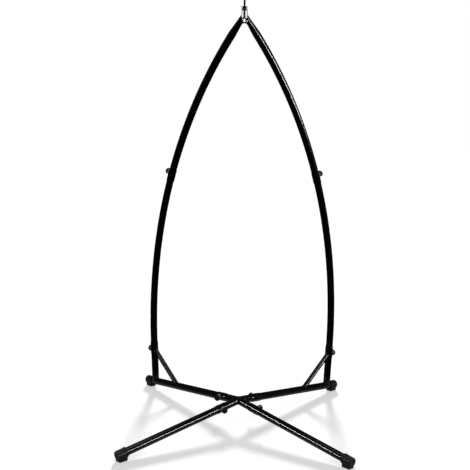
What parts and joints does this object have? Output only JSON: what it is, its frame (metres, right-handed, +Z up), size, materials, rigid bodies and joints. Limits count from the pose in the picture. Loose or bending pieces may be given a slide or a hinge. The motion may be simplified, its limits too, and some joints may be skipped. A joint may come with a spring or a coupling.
{
  "type": "hanging hammock chair stand",
  "caption": "Free-standing tube stand for a hanging hammock chair: a raised X base, two bowed masts meeting overhead and a swivelling eye bolt.",
  "frame": {"origin": "on the floor, midway between the four feet, directly below the crossing of the hub", "axes": "+Z up; -Y is the open front, where the chair swings; +X to the right seen from the front"},
  "size_m": [1.084, 1.084, 2.071],
  "materials": {
    "black_enamel": "gloss black enamel on steel tube",
    "cap_plastic": "satin black moulded plastic",
    "knob_plastic": "satin black moulded plastic",
    "saddle_plastic": "satin dark grey moulded plastic",
    "zinc_steel": "bright zinc plate",
    "eye_steel": "zinc plate, oiled thread"
  },
  "bodies": {
    "frame": {"eye_washer": "zinc_steel", "foot_cap_front_left": "cap_plastic", "foot_cap_front_right": "cap_plastic", "foot_cap_rear_left": "cap_plastic", "foot_cap_rear_right": "cap_plastic", "hub_arm_front_left": "black_enamel", "hub_arm_front_right": "black_enamel", "hub_arm_rear_left": "black_enamel", "hub_arm_rear_right": "black_enamel", "leg_front_left": "black_enamel", "leg_front_right": "black_enamel", "leg_rear_left": "black_enamel", "leg_rear_right": "black_enamel", "lower_mast_left": "black_enamel", "lower_mast_right": "black_enamel", "mast_brace_left": "black_enamel", "mast_brace_right": "black_enamel", "mast_stub_left": "black_enamel", "mast_stub_right": "black_enamel", "mast_tip_plate_left": "black_enamel", "mast_tip_plate_right": "black_enamel", "tube_nuts": "zinc_steel", "upper_mast_left": "black_enamel", "upper_mast_right": "black_enamel", "yoke": "zinc_steel", "yoke_bolts": "zinc_steel"},
    "saddle_hub_front_left": {"knob_saddle_hub_front_left": "saddle_plastic"},
    "knob_hub_front_left": {"knob_hub_front_left": "knob_plastic", "knob_stud_hub_front_left": "zinc_steel"},
    "saddle_hub_front_right": {"knob_saddle_hub_front_right": "saddle_plastic"},
    "knob_hub_front_right": {"knob_hub_front_right": "knob_plastic", "knob_stud_hub_front_right": "zinc_steel"},
    "saddle_hub_rear_right": {"knob_saddle_hub_rear_right": "saddle_plastic"},
    "knob_hub_rear_right": {"knob_hub_rear_right": "knob_plastic", "knob_stud_hub_rear_right": "zinc_steel"},
    "saddle_hub_rear_left": {"knob_saddle_hub_rear_left": "saddle_plastic"},
    "knob_hub_rear_left": {"knob_hub_rear_left": "knob_plastic", "knob_stud_hub_rear_left": "zinc_steel"},
    "saddle_stub_left": {"knob_saddle_stub_left": "saddle_plastic"},
    "knob_stub_left": {"knob_stub_left": "knob_plastic", "knob_stud_stub_left": "zinc_steel"},
    "saddle_mast_left": {"knob_saddle_mast_left": "saddle_plastic"},
    "knob_mast_left": {"knob_mast_left": "knob_plastic", "knob_stud_mast_left": "zinc_steel"},
    "saddle_stub_right": {"knob_saddle_stub_right": "saddle_plastic"},
    "knob_stub_right": {"knob_stub_right": "knob_plastic", "knob_stud_stub_right": "zinc_steel"},
    "saddle_mast_right": {"knob_saddle_mast_right": "saddle_plastic"},
    "knob_mast_right": {"knob_mast_right": "knob_plastic", "knob_stud_mast_right": "zinc_steel"},
    "eye_bolt": {"eye_bolt": "eye_steel", "castle_nut": "zinc_steel", "split_pin": "zinc_steel"}
  },
  "joints": [
    {"name": "knob_hub_front_left_travel", "type": "slide", "parent": "frame", "child": "saddle_hub_front_left", "axis": [0.7071, -0.7071, 0], "range_m": [0, 0.01]},
    {"name": "knob_hub_front_left_turn", "type": "hinge", "parent": "saddle_hub_front_left", "child": "knob_hub_front_left", "pos_m": [-0.08644, -0.08644, 0.09738], "axis": [0.7071, -0.7071, 0], "range_deg": [0, 2880]},
    {"name": "knob_hub_front_right_travel", "type": "slide", "parent": "frame", "child": "saddle_hub_front_right", "axis": [0.7071, 0.7071, 0], "range_m": [0, 0.01]},
    {"name": "knob_hub_front_right_turn", "type": "hinge", "parent": "saddle_hub_front_right", "child": "knob_hub_front_right", "pos_m": [0.08644, -0.08644, 0.09738], "axis": [0.7071, 0.7071, 0], "range_deg": [0, 2880]},
    {"name": "knob_hub_rear_right_travel", "type": "slide", "parent": "frame", "child": "saddle_hub_rear_right", "axis": [-0.7071, 0.7071, 0], "range_m": [0, 0.01]},
    {"name": "knob_hub_rear_right_turn", "type": "hinge", "parent": "saddle_hub_rear_right", "child": "knob_hub_rear_right", "pos_m": [0.08644, 0.08644, 0.09738], "axis": [-0.7071, 0.7071, 0], "range_deg": [0, 2880]},
    {"name": "knob_hub_rear_left_travel", "type": "slide", "parent": "frame", "child": "saddle_hub_rear_left", "axis": [-0.7071, -0.7071, 0], "range_m": [0, 0.01]},
    {"name": "knob_hub_rear_left_turn", "type": "hinge", "parent": "saddle_hub_rear_left", "child": "knob_hub_rear_left", "pos_m": [-0.08644, 0.08644, 0.09738], "axis": [-0.7071, -0.7071, 0], "range_deg": [0, 2880]},
    {"name": "knob_stub_left_travel", "type": "slide", "parent": "frame", "child": "saddle_stub_left", "axis": [-0.7058, 0.7058, -0.061], "range_m": [0, 0.01]},
    {"name": "knob_stub_left_turn", "type": "hinge", "parent": "saddle_stub_left", "child": "knob_stub_left", "pos_m": [-0.48634, 0.48634, 0.21928], "axis": [-0.7058, 0.7058, -0.061], "range_deg": [0, 2880]},
    {"name": "knob_mast_left_travel", "type": "slide", "parent": "frame", "child": "saddle_mast_left", "axis": [-0.6563, 0.6563, 0.3721], "range_m": [0, 0.01]},
    {"name": "knob_mast_left_turn", "type": "hinge", "parent": "saddle_mast_left", "child": "knob_mast_left", "pos_m": [-0.37898, 0.37898, 1.21447], "axis": [-0.6563, 0.6563, 0.3721], "range_deg": [0, 2880]},
    {"name": "knob_stub_right_travel", "type": "slide", "parent": "frame", "child": "saddle_stub_right", "axis": [0.7058, 0.7058, -0.061], "range_m": [0, 0.01]},
    {"name": "knob_stub_right_turn", "type": "hinge", "parent": "saddle_stub_right", "child": "knob_stub_right", "pos_m": [0.48634, 0.48634, 0.21928], "axis": [0.7058, 0.7058, -0.061], "range_deg": [0, 2880]},
    {"name": "knob_mast_right_travel", "type": "slide", "parent": "frame", "child": "saddle_mast_right", "axis": [0.6563, 0.6563, 0.3721], "range_m": [0, 0.01]},
    {"name": "knob_mast_right_turn", "type": "hinge", "parent": "saddle_mast_right", "child": "knob_mast_right", "pos_m": [0.37898, 0.37898, 1.21447], "axis": [0.6563, 0.6563, 0.3721], "range_deg": [0, 2880]},
    {"name": "eye_bolt_swivel", "type": "hinge", "parent": "frame", "child": "eye_bolt", "pos_m": [0, -0.008, 2.028], "axis": [0, 0, 1], "continuous": true}
  ],
  "couplings": [
    {"joint": "knob_hub_front_left_turn", "follows": "knob_hub_front_left_travel", "rad_per_m": 5026.5},
    {"joint": "knob_hub_front_right_turn", "follows": "knob_hub_front_right_travel", "rad_per_m": 5026.5},
    {"joint": "knob_hub_rear_right_turn", "follows": "knob_hub_rear_right_travel", "rad_per_m": 5026.5},
    {"joint": "knob_hub_rear_left_turn", "follows": "knob_hub_rear_left_travel", "rad_per_m": 5026.5},
    {"joint": "knob_stub_left_turn", "follows": "knob_stub_left_travel", "rad_per_m": 5026.5},
    {"joint": "knob_mast_left_turn", "follows": "knob_mast_left_travel", "rad_per_m": 5026.5},
    {"joint": "knob_stub_right_turn", "follows": "knob_stub_right_travel", "rad_per_m": 5026.5},
    {"joint": "knob_mast_right_turn", "follows": "knob_mast_right_travel", "rad_per_m": 5026.5}
  ]
}
